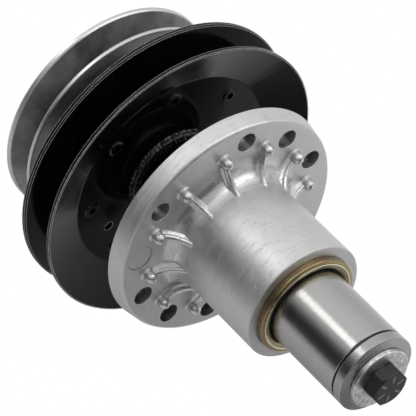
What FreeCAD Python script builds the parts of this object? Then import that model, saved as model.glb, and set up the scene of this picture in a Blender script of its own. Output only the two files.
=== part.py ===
import FreeCAD, Part
import math
import os
import re
import Sketcher

# Mower deck spindle, in millimetres.
# The origin is the centre of the flange's mounting face, and +Z runs along the shaft to the pulleys.

# Driving sizes
SIZES = {
    # cast housing
    "flange_radius": 66.8,
    "flange_thickness": 10.5,
    "flange_draft": 1.4,
    "flange_rounding": 2.0,
    "flange_break": 0.6,
    "pilot_radius": 34.0,
    "pilot_height": 18.0,
    "pilot_break": 1.2,
    "barrel_radius": 34.2,
    "barrel_depth": 73.4,
    "barrel_break": 0.5,
    "cove_radius": 11.0,
    "core_bore_radius": 22.0,
    "seat_fit": 0.03,
    # flange holes
    "hole_edge_distance": 11.45,
    "hole_radius": 5.5,
    "six_hole_count": 6,
    "six_hole_phase": 15.0,
    "pair_hole_count": 2,
    "pair_hole_phase": 165.0,
    "ejector_mark_radius": 7.3,
    "ejector_mark_depth": 0.4,
    "ejector_mark_phase": 225.0,
    # flange ribs and the round bosses at their feet
    "rib_count": 12,
    "rib_circle": 49.8,
    "rib_half_width": 1.5,
    "rib_crown_radius": 1.7,
    "rib_foot": 1.1,
    "rib_crest": 3.2,
    "rib_runout": 12.0,
    "rib_sweep": 68.0,
    "rib_root": 1.5,
    "boss_radius": 3.2,
    "boss_height": 6.3,
    "boss_foot": 1.0,
    # tapered roller bearings
    "bearing_bore_radius": 12.7,
    "cup_radius": 25.15,
    "cone_length": 14.7,
    "cone_standout": 3.6,
    "cup_length": 10.6,
    "cone_setback": 2.0,
    "big_rib_length": 2.6,
    "big_rib_radius": 18.3,
    "small_rib_length": 2.05,
    "small_rib_radius": 15.6,
    "roller_count": 14,
    "roller_circle": 18.6,
    "roller_station": 8.09,
    "roller_radius": 3.1,
    "roller_length": 9.6,
    "roller_tilt": 11.5,
    "roller_taper": 1.5,
    "roller_clearance": 0.12,
    "cage_thickness": 0.9,
    "cage_offset": 0.7,
    "cage_margin": 0.9,
    "cage_window_clearance": 0.2,
    # shaft seals
    "seal_radius": 28.5,
    "seal_section": 6.3,
    "seal_face_width": 3.9,
    "seal_depth": 4.0,
    "seal_proud": 3.6,
    "seal_wall": 1.3,
    "seal_rounding": 1.1,
    "lip_clearance": 0.12,
    "lip_land": 0.4,
    "lip_root": 1.1,
    "lip_back": 0.55,
    "lip_throat_step": 0.3,
    "lip_face": 0.7,
    "lip_heel": 3.4,
    "dust_lip_station": 2.1,
    "main_lip_station": -1.0,
    "lip_seat_fit": 0.02,
    # shaft and the pieces clamped on it
    "shaft_fit": 0.02,
    "shaft_break": 0.8,
    "spacer_radius": 15.4,
    "sleeve_break": 0.4,
    "sleeve_reach": 50.6,
    "collar_neck_groove": 3.2,
    "collar_neck_length": 1.2,
    "collar_length": 5.4,
    "collar_cone_length": 1.2,
    "collar_cone_run": 4.6,
    "collar_break": 0.35,
    "shaft_insert": 3.5,
    "shaft_end_gap": 1.0,
    "washer_radius": 17.0,
    "washer_thickness": 3.1,
    "washer_break": 0.5,
    "bolt_radius": 6.35,
    "bolt_clearance": 0.5,
    "bolt_length": 38.0,
    "bolt_head_height": 7.6,
    "bolt_head_flats": 18.7,
    "bolt_face_height": 0.5,
    "bolt_face_inset": 0.15,
    "hex_face_inset": 0.3,
    "hex_overrun": 1.0,
    "hex_chamfer_angle": 30.0,
    "hex_turn": 33.8,
    "thread_fit": 0.05,
    "tapped_depth": 40.0,
    "drill_point_angle": 31.0,
    # keys
    "key_width": 6.35,
    "key_height": 6.35,
    "key_length": 20.0,
    "key_fit": 0.03,
    # black pulley
    "lower_pulley_station": 41.0,
    "lower_rim_radius": 82.5,
    "lower_rim_half_width": 12.6,
    "lower_crease_radius": 58.8,
    "lower_sheet": 2.9,
    "lower_hub_radius": 22.9,
    "lower_rivet_circle": 50.0,
    "lower_rivet_count": 8,
    "lower_rivet_turn": 350.75,
    "drain_circle": 43.0,
    "drain_radius": 2.6,
    "drain_phase": 191.2,
    # grey pulley
    "upper_pulley_station": 85.55,
    "upper_rim_radius": 63.4,
    "upper_rim_half_width": 10.75,
    "upper_crease_radius": 43.0,
    "upper_sheet": 2.8,
    "upper_hub_radius": 20.0,
    "upper_rivet_circle": 33.0,
    "upper_rivet_count": 6,
    "upper_rivet_turn": 20.0,
    # what both pulleys share
    "hub_length": 26.0,
    "hub_break": 0.8,
    "rim_break": 0.7,
    "bend_radius": 2.4,
    "disc_fit": 0.02,
    "weld_leg": 4.8,
    "rivet_bore": 1.9,
    "rivet_shank": 3.1,
    "rivet_fit": 0.05,
    "rivet_head": 4.4,
    "rivet_head_height": 0.9,
    "hub_spacer_radius": 18.0,
    # top nut and washer
    "top_thread_radius": 9.5,
    "top_washer_radius": 19.0,
    "top_washer_thickness": 3.5,
    "nut_flats": 28.6,
    "nut_height": 11.5,
    "thread_reach": 3.5,
    "shaft_shoulder_gap": 1.5,
}

doc = FreeCAD.newDocument("deck_spindle")
sheet = doc.addObject("Spreadsheet::Sheet", "Sizes")
for row, (alias, size) in enumerate(SIZES.items(), start=1):
    sheet.set("A%d" % row, str(size))
    sheet.setAlias("A%d" % row, alias)
doc.recompute()

WORD = re.compile(r"[a-z_]+")
HEX_SIDES = 6
LEAST_CUT = 1e-3

# Radii that follow from the seal, so that its lips keep their section
SLEEVE = "(seal_radius - seal_section)"
SEAL_OPENING = "(seal_radius - seal_face_width)"

# The flange's holes keep their distance from its edge
HOLE_CIRCLE = "(flange_radius - hole_edge_distance)"

# Stations along the shaft, as expressions of the driving sizes
UPPER_CONE = "(pilot_height - cone_setback)"
LOWER_CONE = "(barrel_depth - cone_setback)"
SLEEVE_END = "(barrel_depth + sleeve_reach)"
COLLAR_TOP = "(%s + collar_neck_length)" % SLEEVE_END
COLLAR_EDGE = "(%s + collar_length)" % COLLAR_TOP
COLLAR_END = "(%s + collar_cone_length)" % COLLAR_EDGE
WASHER_END = "(%s + washer_thickness)" % COLLAR_END
SHAFT_END = "(%s + shaft_insert)" % SLEEVE_END
LOWER_HUB_START = "(lower_pulley_station - hub_length / 2)"
LOWER_HUB_END = "(lower_pulley_station + hub_length / 2)"
UPPER_HUB_START = "(upper_pulley_station - hub_length / 2)"
UPPER_HUB_END = "(upper_pulley_station + hub_length / 2)"
NUT_START = "(%s + top_washer_thickness)" % UPPER_HUB_END
SHAFT_TOP = "(%s + nut_height + thread_reach)" % NUT_START


def bound(text):
    """The expression text with each size written as a cell of the sheet."""
    return WORD.sub(lambda m: "Sizes." + m.group(0) if m.group(0) in SIZES else m.group(0), text)


def amount(text):
    """The number that an expression of the sizes comes to."""
    return float(sheet.evalExpression(text))


pieces = []


def keep(piece):
    """Adds a finished piece to those that are written out."""
    pieces.append(piece)
    return piece


def new_body(label):
    """An empty body with its label set."""
    body = doc.addObject("PartDesign::Body", label)
    body.Label = label
    return body


def datum(body, role):
    """One of the body's own origin planes or axes."""
    return next(f for f in body.Origin.OriginFeatures if f.Role == role)


def new_sketch(body, role, offset=None):
    """A sketch on one of the body's origin planes, moved along the plane's normal by an expression."""
    sketch = body.newObject("Sketcher::SketchObject", body.Label + "_sketch")
    sketch.AttachmentSupport = (datum(body, role), [""])
    sketch.MapMode = "FlatFace"
    if offset:
        sketch.setExpression("AttachmentOffset.Base.z", bound(offset))
    return sketch


def pin(sketch, element, end, across, up):
    """Ties one end of a sketch element to the two expressions of its place."""
    for kind, text, axis in (("DistanceX", across, -2), ("DistanceY", up, -1)):
        if text == "0":
            sketch.addConstraint(Sketcher.Constraint("PointOnObject", element, end, axis))
            continue
        spot = sketch.addConstraint(Sketcher.Constraint(kind, -1, 1, element, end, amount(text)))
        sketch.setExpression("Constraints[%d]" % spot, bound(text))


def middle_of_arc(start, end, radius):
    """The middle point of an arc; a positive radius bulges to the right of the way it runs."""
    chord = end - start
    half = chord.Length / 2
    side = FreeCAD.Vector(chord.y, -chord.x, 0).normalize()
    rise = abs(radius) - math.sqrt(max(radius * radius - half * half, 0))
    return (start + end) * 0.5 + side * math.copysign(rise, radius)


def outline(sketch, corners):
    """Draws a closed outline. A corner is (across, up), and (across, up, radius) starts an arc."""
    spots = [FreeCAD.Vector(amount(c[0]), amount(c[1]), 0) for c in corners]
    ends = []
    for i, corner in enumerate(corners):
        start = spots[i]
        end = spots[(i + 1) % len(corners)]
        if len(corner) == 2:
            element = sketch.addGeometry(Part.LineSegment(start, end), False)
            ends.append((element, 1, 2))
            continue
        middle = middle_of_arc(start, end, amount(corner[2]))
        element = sketch.addGeometry(Part.Arc(start, middle, end), False)
        forward = (sketch.getPoint(element, 1) - start).Length < (sketch.getPoint(element, 2) - start).Length
        ends.append((element, 1, 2) if forward else (element, 2, 1))
    for i, corner in enumerate(corners):
        element, first, last = ends[i]
        following, its_first, its_last = ends[(i + 1) % len(corners)]
        sketch.addConstraint(Sketcher.Constraint("Coincident", element, last, following, its_first))
        pin(sketch, element, first, corner[0], corner[1])
        if len(corner) == 3:
            size = amount(corner[2])
            spot = sketch.addConstraint(Sketcher.Constraint("Radius", element, abs(size)))
            sketch.setExpression("Constraints[%d]" % spot, "abs(%s)" % bound(corner[2]))


def own_axis(sketch, first, second):
    """A line of construction through two corners, for a turn about the sketch's own axis."""
    ends = [FreeCAD.Vector(amount(across), amount(up), 0) for across, up in (first, second)]
    line = sketch.addGeometry(Part.LineSegment(*ends), True)
    pin(sketch, line, 1, *first)
    pin(sketch, line, 2, *second)
    return (sketch, ["Axis0"])


def turn_about_shaft(body, corners):
    """A full turn about the shaft's axis of an outline of (radius, height) corners."""
    sketch = new_sketch(body, "XZ_Plane")
    outline(sketch, corners)
    turn = body.newObject("PartDesign::Revolution", body.Label + "_turn")
    turn.Profile = sketch
    turn.ReferenceAxis = (sketch, ["V_Axis"])
    turn.Angle = 360
    body.Tip = turn
    return turn


def turned(label, corners, station=None, flipped=False):
    """A turned piece, moved along the shaft to its station."""
    body = new_body(label)
    turn_about_shaft(body, corners)
    place(body, station, flipped)
    return keep(body)


def place(piece, station, flipped=False, turn=None):
    """Sets a piece at its station along the shaft, pointing down the shaft if it is flipped."""
    if flipped:
        piece.Placement.Rotation = FreeCAD.Rotation(FreeCAD.Vector(1, 0, 0), 180)
    elif turn:
        piece.Placement.Rotation = FreeCAD.Rotation(FreeCAD.Vector(0, 0, 1), amount(turn))
        piece.setExpression("Placement.Rotation.Angle", bound(turn))
    if station:
        piece.setExpression("Placement.Base.z", bound(station))


def volume_so_far(body):
    """The volume of the body as built up to now."""
    doc.recompute()
    return body.Tip.Shape.Volume


def cut_through(body, draw, count=1):
    """Cuts what draw sketches right through the body along the shaft, count times round the axis."""
    before = volume_so_far(body)
    sketch = new_sketch(body, "XY_Plane")
    draw(sketch)
    pocket = body.newObject("PartDesign::Pocket", body.Label + "_cut")
    pocket.Profile = sketch
    pocket.Type = "ThroughAll"
    pocket.Midplane = True
    finish_cut(body, pocket, before, count)


def finish_cut(body, cut, before, count):
    """Repeats a cut round the axis and makes sure that it took material away."""
    body.Tip = cut
    if count > 1:
        repeat(body, [cut], count)
    if volume_so_far(body) >= before - LEAST_CUT:
        raise RuntimeError(body.Label + ": a cut took nothing away")


def repeat(body, features, count):
    """Repeats features evenly round the shaft's axis."""
    pattern = body.newObject("PartDesign::PolarPattern", body.Label + "_pattern")
    pattern.Originals = features
    pattern.Axis = (datum(body, "Z_Axis"), [""])
    pattern.Angle = 360
    pattern.Occurrences = count
    body.Tip = pattern


def count_of(alias):
    """A whole number from the sheet."""
    return int(round(amount(alias)))


def round_hole(circle, phase, radius):
    """A sketcher of one round hole at a polar place."""

    def draw(sketch):
        across = "%s * cos(%s)" % (circle, phase)
        up = "%s * sin(%s)" % (circle, phase)
        centre = FreeCAD.Vector(amount(across), amount(up), 0)
        normal = FreeCAD.Vector(0, 0, 1)
        element = sketch.addGeometry(Part.Circle(centre, normal, amount(radius)), False)
        pin(sketch, element, 3, across, up)
        spot = sketch.addConstraint(Sketcher.Constraint("Radius", element, amount(radius)))
        sketch.setExpression("Constraints[%d]" % spot, bound(radius))

    return draw


# Cast housing: flange, cove, barrel and pilot ring, bored for two bearings and two seals
def make_housing():
    """The ribbed flange housing."""
    cup_seat = "(cup_radius + seat_fit)"
    seal_seat = "(seal_radius + seat_fit)"
    face = "(-flange_thickness)"
    rim = "(flange_radius - flange_draft)"
    lower_shoulder = "(%s - cone_standout - cup_length)" % LOWER_CONE
    upper_shoulder = "(%s - cone_standout - cup_length)" % UPPER_CONE
    body = new_body("housing")
    turn_about_shaft(body, [
        ("core_bore_radius", "-" + lower_shoulder),
        (cup_seat, "-" + lower_shoulder),
        (cup_seat, "-(barrel_depth - seal_depth)"),
        (seal_seat, "-(barrel_depth - seal_depth)"),
        (seal_seat, "-barrel_depth"),
        ("barrel_radius - barrel_break", "-barrel_depth"),
        ("barrel_radius", "-(barrel_depth - barrel_break)"),
        ("barrel_radius", "-(flange_thickness + cove_radius)", "-cove_radius"),
        ("barrel_radius + cove_radius", face),
        (rim + " - flange_rounding", face, "flange_rounding"),
        (rim, "-(flange_thickness - flange_rounding)"),
        ("flange_radius", "-flange_break"),
        ("flange_radius - flange_break", "0"),
        ("pilot_radius", "0"),
        ("pilot_radius", "pilot_height - pilot_break"),
        ("pilot_radius - pilot_break", "pilot_height"),
        (seal_seat, "pilot_height"),
        (seal_seat, "pilot_height - seal_depth"),
        (cup_seat, "pilot_height - seal_depth"),
        (cup_seat, upper_shoulder),
        ("core_bore_radius", upper_shoulder),
    ])
    add_ribs(body)
    for name in ("six", "pair"):
        hole = round_hole(HOLE_CIRCLE, name + "_hole_phase", "hole_radius")
        cut_through(body, hole, count_of(name + "_hole_count"))
    before = volume_so_far(body)
    sketch = new_sketch(body, "XY_Plane", face)
    round_hole(HOLE_CIRCLE, "ejector_mark_phase", "ejector_mark_radius")(sketch)
    mark = body.newObject("PartDesign::Pocket", "housing_mark")
    mark.Profile = sketch
    mark.Reversed = True
    mark.setExpression("Length", bound("ejector_mark_depth"))
    finish_cut(body, mark, before, 1)
    return keep(body)


def add_ribs(body):
    """Curved ribs that run from round bosses on the flange down the cove to the barrel."""
    crest = "(flange_thickness + rib_crest)"
    root = "(-(flange_thickness - rib_root))"
    reach = "(rib_circle - barrel_radius)"
    runout = "(flange_thickness + rib_runout)"
    centre = "((%s ^ 2 + %s ^ 2 - %s ^ 2) / (2 * (%s - %s)))" % (reach, runout, crest, runout, crest)
    foot = "(rib_half_width + rib_foot)"
    rise = "(rib_crown_radius - sqrt(rib_crown_radius ^ 2 - rib_half_width ^ 2))"
    shoulder = "-(%s - %s)" % (crest, rise)
    foot_end = "-(flange_thickness + rib_foot)"
    sketch = new_sketch(body, "YZ_Plane", "rib_circle")
    outline(sketch, [
        ("-" + foot, root),
        ("-" + foot, "-flange_thickness"),
        ("-rib_half_width", foot_end),
        ("-rib_half_width", shoulder, "rib_crown_radius"),
        ("rib_half_width", shoulder),
        ("rib_half_width", foot_end),
        (foot, "-flange_thickness"),
        (foot, root),
    ])
    rib = body.newObject("PartDesign::Revolution", "housing_rib")
    rib.Profile = sketch
    rib.ReferenceAxis = own_axis(sketch, ("0", "-" + centre), ("rib_half_width", "-" + centre))
    rib.Reversed = True
    rib.setExpression("Angle", bound("rib_sweep"))

    side = "rib_circle + boss_radius"
    tip = "-(flange_thickness + boss_height)"
    sketch = new_sketch(body, "XZ_Plane")
    outline(sketch, [
        ("rib_circle", root),
        ("rib_circle", tip, "boss_radius"),
        (side, tip + " + boss_radius"),
        (side, "-(flange_thickness + boss_foot)"),
        (side + " + boss_foot", "-flange_thickness"),
        (side + " + boss_foot", root),
    ])
    boss = body.newObject("PartDesign::Revolution", "housing_boss")
    boss.Profile = sketch
    boss.ReferenceAxis = own_axis(sketch, ("rib_circle", root), ("rib_circle", tip))
    boss.Angle = 360
    body.Tip = boss
    repeat(body, [rib, boss], count_of("rib_count"))


# Bearings: the tapered roller bearing lies with z = 0 on the cone's back face and +z out of the housing
RACE_SLOPE = "tan(roller_tilt - roller_taper)"
CUP_SLOPE = "tan(roller_tilt + roller_taper)"
RUNNING_RADIUS = "(roller_radius + roller_clearance)"


def cone_race(level):
    """The radius of the cone's raceway at a height."""
    gap = "%s / cos(roller_tilt - roller_taper)" % RUNNING_RADIUS
    return "roller_circle - %s + (%s + roller_station) * %s" % (gap, level, RACE_SLOPE)


def cup_race(level):
    """The radius of the cup's raceway at a height."""
    gap = "%s / cos(roller_tilt + roller_taper)" % RUNNING_RADIUS
    return "roller_circle + %s + (%s + roller_station) * %s" % (gap, level, CUP_SLOPE)


def along_roller(distance, offset):
    """The place that lies a distance along the roller's axis and an offset outward from it."""
    across = "roller_circle + %s * sin(roller_tilt) + %s * cos(roller_tilt)" % (distance, offset)
    up = "-roller_station + %s * cos(roller_tilt) - %s * sin(roller_tilt)" % (distance, offset)
    return across, up


def make_bearing(side, station, flipped):
    """The cup, cone, cage and rollers at one end of the housing."""
    bore = "bearing_bore_radius + shaft_fit"
    rib = "(-big_rib_length)"
    small = "(-(cone_length - small_rib_length))"
    turned(side + "_cone", [
        (bore, "-cone_length"),
        ("small_rib_radius", "-cone_length"),
        ("small_rib_radius", small),
        (cone_race(small), small),
        (cone_race(rib), rib),
        ("big_rib_radius", rib),
        ("big_rib_radius", "0"),
        (bore, "0"),
    ], station, flipped)
    front = "(-cone_standout)"
    back = "(-(cone_standout + cup_length))"
    turned(side + "_cup", [
        (cup_race(back), back),
        ("cup_radius", back),
        ("cup_radius", front),
        (cup_race(front), front),
    ], station, flipped)
    make_rollers(side, station, flipped)
    make_cage(side, station, flipped)


def make_rollers(side, station, flipped):
    """The ring of tapered rollers of one bearing."""
    half = "roller_length / 2"
    body = new_body(side + "_rollers")
    sketch = new_sketch(body, "XZ_Plane")
    ends = [along_roller("(-%s)" % half, "0"), along_roller("(%s)" % half, "0")]
    corners = [
        ends[0],
        ends[1],
        along_roller("(%s)" % half, "(roller_radius + %s * tan(roller_taper))" % half),
        along_roller("(-%s)" % half, "(roller_radius - %s * tan(roller_taper))" % half),
    ]
    outline(sketch, corners)
    roller = body.newObject("PartDesign::Revolution", side + "_roller")
    roller.Profile = sketch
    roller.ReferenceAxis = own_axis(sketch, *ends)
    roller.Angle = 360
    body.Tip = roller
    repeat(body, [roller], count_of("roller_count"))
    place(body, station, flipped)
    keep(body)


def make_cage(side, station, flipped):
    """The conical cage of one bearing, with a window for each roller."""
    half = "(roller_length / 2 + cage_window_clearance + cage_margin)"
    outer = "(cage_offset + cage_thickness)"
    body = new_body(side + "_cage")
    turn_about_shaft(body, [
        along_roller("(-%s)" % half, "cage_offset"),
        along_roller("(-%s)" % half, outer),
        along_roller(half, outer),
        along_roller(half, "cage_offset"),
    ])
    before = volume_so_far(body)
    reach = "roller_length / 2 * cos(roller_tilt)"
    low = "-roller_station - %s - %s * sin(roller_tilt) - cage_window_clearance" % (reach, outer)
    high = "-roller_station + %s - cage_offset * sin(roller_tilt) + cage_window_clearance" % reach
    wide = "(roller_radius + cage_window_clearance)"
    sketch = new_sketch(body, "YZ_Plane", "bearing_bore_radius")
    outline(sketch, [("-" + wide, low), (wide, low), (wide, high), ("-" + wide, high)])
    window = body.newObject("PartDesign::Pocket", side + "_window")
    window.Profile = sketch
    window.Reversed = True
    window.setExpression("Length", bound("cup_radius"))
    finish_cut(body, window, before, count_of("roller_count"))
    place(body, station, flipped)
    keep(body)


# Shaft seals: z = 0 on the housing's end face and +z outwards
def make_seal(side, station, flipped):
    """The pressed metal case and the rubber lip of one shaft seal."""
    inner = "seal_radius - seal_wall"
    inside = "seal_proud - seal_wall"
    turned(side + "_seal_case", [
        (inner, "-seal_depth"),
        ("seal_radius", "-seal_depth"),
        ("seal_radius", "seal_proud - seal_rounding", "seal_rounding"),
        ("seal_radius - seal_rounding", "seal_proud"),
        (SEAL_OPENING, "seal_proud"),
        (SEAL_OPENING, inside),
        (inner, inside),
    ], station, flipped)
    tip = "(%s + lip_clearance)" % SLEEVE
    root = "(%s + lip_root)" % tip
    throat = "(%s - lip_throat_step)" % SEAL_OPENING
    turned(side + "_seal_lip", [
        (root, "main_lip_station + lip_root"),
        (tip, "main_lip_station"),
        (tip, "main_lip_station - lip_land"),
        (SEAL_OPENING, "-lip_heel"),
        (inner + " - lip_seat_fit", "-lip_heel"),
        (inner + " - lip_seat_fit", inside + " - lip_seat_fit"),
        (throat, inside + " - lip_seat_fit"),
        (throat, "seal_proud - lip_face"),
        (root, "seal_proud - lip_face"),
        (tip, "dust_lip_station"),
        (tip, "dust_lip_station - lip_land"),
        (root, "dust_lip_station - lip_land - lip_back"),
    ], station, flipped)


# Shaft and the pieces clamped between the blade bolt and the top nut
def keyway_sketch(sketch):
    """The hub's keyway, from the axis to above the key."""
    wide = "(key_width / 2 + key_fit)"
    deep = "(bearing_bore_radius + key_height / 2 + key_fit)"
    outline(sketch, [
        ("0", "-" + wide),
        (deep, "-" + wide),
        (deep, wide),
        ("0", wide),
    ])


def cut_shaft_keyway(body, station):
    """A closed keyway in the shaft at one pulley."""
    before = volume_so_far(body)
    wide = "(key_width / 2 + key_fit)"
    low = "%s - key_length / 2 - key_fit" % station
    high = "%s + key_length / 2 + key_fit" % station
    sketch = new_sketch(body, "YZ_Plane", "bearing_bore_radius - key_height / 2 - key_fit")
    outline(sketch, [("-" + wide, low), (wide, low), (wide, high), ("-" + wide, high)])
    slot = body.newObject("PartDesign::Pocket", "shaft_keyway")
    slot.Profile = sketch
    slot.Reversed = True
    slot.setExpression("Length", bound("key_height"))
    finish_cut(body, slot, before, 1)


def make_shaft():
    """The spindle shaft, tapped for the blade bolt and threaded for the top nut."""
    shoulder = "%s - shaft_shoulder_gap" % UPPER_HUB_END
    tapped = "(bolt_radius + thread_fit)"
    bottom = "-" + SHAFT_END
    body = new_body("shaft")
    turn_about_shaft(body, [
        ("0", bottom + " + tapped_depth + %s * tan(drill_point_angle)" % tapped),
        (tapped, bottom + " + tapped_depth"),
        (tapped, bottom),
        ("bearing_bore_radius - shaft_break", bottom),
        ("bearing_bore_radius", bottom + " + shaft_break"),
        ("bearing_bore_radius", shoulder),
        ("top_thread_radius", shoulder),
        ("top_thread_radius", SHAFT_TOP + " - shaft_break"),
        ("top_thread_radius - shaft_break", SHAFT_TOP),
        ("0", SHAFT_TOP),
    ])
    cut_shaft_keyway(body, "lower_pulley_station")
    cut_shaft_keyway(body, "upper_pulley_station")
    keep(body)


def tube(label, inner, outer, low, high, edge):
    """A plain tube along the shaft, with its outer edges broken."""
    return turned(label, [
        (inner, low),
        ("%s - %s" % (outer, edge), low),
        (outer, "%s + %s" % (low, edge)),
        (outer, "%s - %s" % (high, edge)),
        ("%s - %s" % (outer, edge), high),
        (inner, high),
    ])


def make_clamped_pieces():
    """The sleeves, spacers, collar and washers on the shaft."""
    bore = "(bearing_bore_radius + shaft_fit)"
    bolt_bore = "(bolt_radius + bolt_clearance)"
    spacer_low = "(-(%s - cone_length))" % LOWER_CONE
    spacer_high = "(%s - cone_length)" % UPPER_CONE
    tube("bearing_spacer", bore, "spacer_radius", spacer_low, spacer_high, "sleeve_break")
    tube("blade_sleeve", bore, SLEEVE, "(-%s)" % SLEEVE_END, "(-%s)" % LOWER_CONE, "sleeve_break")
    tube("upper_sleeve", bore, SLEEVE, UPPER_CONE, LOWER_HUB_START, "sleeve_break")
    tube("hub_spacer", bore, "hub_spacer_radius", LOWER_HUB_END, UPPER_HUB_START, "sleeve_break")
    neck = SLEEVE + " - collar_neck_groove"
    turned("end_collar", [
        (bolt_bore, "-" + COLLAR_END),
        (SLEEVE + " - collar_cone_run", "-" + COLLAR_END),
        (SLEEVE, "-" + COLLAR_EDGE),
        (SLEEVE, "-(%s + collar_break)" % COLLAR_TOP),
        (SLEEVE + " - collar_break", "-" + COLLAR_TOP),
        (neck, "-" + COLLAR_TOP),
        (neck, "-" + SLEEVE_END),
        (bore, "-" + SLEEVE_END),
        (bore, "-(%s + shaft_end_gap)" % SHAFT_END),
        (bolt_bore, "-(%s + shaft_end_gap)" % SHAFT_END),
    ])
    washer_low = "(-%s)" % WASHER_END
    tube("bolt_washer", bolt_bore, "washer_radius", washer_low, "(-%s)" % COLLAR_END, "washer_break")
    top_bore = "(top_thread_radius + bolt_clearance)"
    tube("top_washer", top_bore, "top_washer_radius", UPPER_HUB_END, NUT_START, "washer_break")


def hexagon(flats):
    """A sketcher of the six corners of a bolt head or nut."""

    def draw(sketch):
        corner = "%s / sqrt(3)" % flats
        turns = ["(hex_turn + %d)" % (360 / HEX_SIDES * k) for k in range(HEX_SIDES)]
        outline(sketch, [("%s * cos(%s)" % (corner, a), "%s * sin(%s)" % (corner, a)) for a in turns])

    return draw


def chamfer_hexagon(body, flats, level, upward):
    """Turns the corners of a hexagon's outer face off."""
    before = volume_so_far(body)
    beyond = "(%s / sqrt(3) + hex_overrun)" % flats
    inside = "(%s / 2 - hex_face_inset)" % flats
    drop = "(%s - %s) * tan(hex_chamfer_angle)" % (beyond, inside)
    far = "%s %s %s" % (level, "-" if upward else "+", drop)
    corners = [(inside, level), (beyond, far), (beyond, level)]
    sketch = new_sketch(body, "XZ_Plane")
    outline(sketch, corners)
    groove = body.newObject("PartDesign::Groove", body.Label + "_chamfer")
    groove.Profile = sketch
    groove.ReferenceAxis = (sketch, ["V_Axis"])
    groove.Angle = 360
    finish_cut(body, groove, before, 1)


def pad_hexagon(body, flats, level, thickness):
    """Adds a hexagonal block that stands on a level."""
    sketch = new_sketch(body, "XY_Plane", level)
    hexagon(flats)(sketch)
    pad = body.newObject("PartDesign::Pad", body.Label + "_hexagon")
    pad.Profile = sketch
    pad.setExpression("Length", bound(thickness))
    body.Tip = pad


def make_fasteners():
    """The blade bolt at the lower end and the nut at the top."""
    bolt = new_body("blade_bolt")
    inside = "-(bolt_head_height - bolt_face_height)"
    turn_about_shaft(bolt, [
        ("0", inside),
        ("bolt_head_flats / 2 - bolt_face_inset", inside),
        ("bolt_head_flats / 2 - bolt_face_inset", "0"),
        ("bolt_radius", "0"),
        ("bolt_radius", "bolt_length - shaft_break"),
        ("bolt_radius - shaft_break", "bolt_length"),
        ("0", "bolt_length"),
    ])
    head = "bolt_head_height - bolt_face_height"
    pad_hexagon(bolt, "bolt_head_flats", "-bolt_head_height", head)
    chamfer_hexagon(bolt, "bolt_head_flats", "-bolt_head_height", False)
    place(bolt, "-" + WASHER_END)
    keep(bolt)

    nut = new_body("top_nut")
    pad_hexagon(nut, "nut_flats", None, "nut_height")
    chamfer_hexagon(nut, "nut_flats", "nut_height", True)
    cut_through(nut, round_hole("0", "hex_turn", "(top_thread_radius + thread_fit)"))
    place(nut, NUT_START)
    keep(nut)


# Pulleys: z = 0 on the mid plane between the two pressed discs
def make_disc(side, name, flipped, drained):
    """One dished disc of a pulley, from its bore at the hub to its rim."""
    rim = side + "_rim_radius"
    crease = side + "_crease_radius"
    sheet_size = side + "_sheet"
    rim_level = side + "_rim_half_width"
    slope = "((%s - %s) / (%s - %s))" % (rim_level, sheet_size, rim, crease)
    stretch = "sqrt(1 + %s ^ 2)" % slope
    half = "((%s - 1) / %s)" % (stretch, slope)
    bore = "%s_hub_radius + disc_fit" % side
    groove_foot = "%s + %s * %s" % (crease, sheet_size, half)
    groove_rim = "%s - %s * %s" % (rim_level, sheet_size, stretch)
    outer_bend = "(bend_radius + %s)" % sheet_size

    def up_slope(start, level, run):
        """A point that lies a run up the slope of the wall from a place."""
        return "%s + %s / %s" % (start, run, stretch), "%s + %s * %s / %s" % (level, run, slope, stretch)

    body = new_body("%s_pulley_%s_disc" % (side, name))
    turn_about_shaft(body, [
        (bore, "0"),
        ("%s - %s * %s" % (groove_foot, outer_bend, half), "0", outer_bend),
        up_slope(groove_foot, "0", "%s * %s" % (outer_bend, half)),
        up_slope(rim, groove_rim, "(-rim_break)"),
        (rim, "%s + rim_break" % groove_rim),
        (rim, "%s - rim_break" % rim_level),
        up_slope(rim, rim_level, "(-rim_break)"),
        up_slope(crease, sheet_size, "bend_radius * %s" % half) + ("-bend_radius",),
        ("%s - bend_radius * %s" % (crease, half), sheet_size),
        (bore, sheet_size),
    ])
    sign = "-" if flipped else ""
    rivet_hole = "(rivet_shank + rivet_fit)"
    holes = round_hole(side + "_rivet_circle", "(%s%s_rivet_turn)" % (sign, side), rivet_hole)
    cut_through(body, holes, count_of(side + "_rivet_count"))
    if drained:
        cut_through(body, round_hole("drain_circle", "(%sdrain_phase)" % sign, "drain_radius"))
    place(body, side + "_pulley_station", flipped)
    keep(body)


def make_weld(side, name, flipped):
    """The round weld bead between a disc and the hub."""
    inner = "%s_hub_radius + disc_fit" % side
    turned("%s_pulley_%s_weld" % (side, name), [
        (inner, side + "_sheet"),
        (inner + " + weld_leg", side + "_sheet"),
        (inner, side + "_sheet + weld_leg"),
    ], side + "_pulley_station", flipped)


def make_rivets(side):
    """The ring of hollow rivets that hold the two discs together."""
    centre = side + "_rivet_circle"
    face = side + "_sheet"
    top = "(%s + rivet_head_height)" % face
    body = new_body(side + "_pulley_rivets")
    sketch = new_sketch(body, "XZ_Plane")
    outline(sketch, [
        (centre + " + rivet_bore", "-" + top),
        (centre + " + rivet_head - rivet_head_height", "-" + top),
        (centre + " + rivet_head", "-" + face),
        (centre + " + rivet_shank", "-" + face),
        (centre + " + rivet_shank", face),
        (centre + " + rivet_head", face),
        (centre + " + rivet_head - rivet_head_height", top),
        (centre + " + rivet_bore", top),
    ])
    rivet = body.newObject("PartDesign::Revolution", side + "_rivet")
    rivet.Profile = sketch
    rivet.ReferenceAxis = own_axis(sketch, (centre, "0"), (centre, face))
    rivet.Angle = 360
    body.Tip = rivet
    repeat(body, [rivet], count_of(side + "_rivet_count"))
    place(body, side + "_pulley_station", turn=side + "_rivet_turn")
    keep(body)


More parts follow.
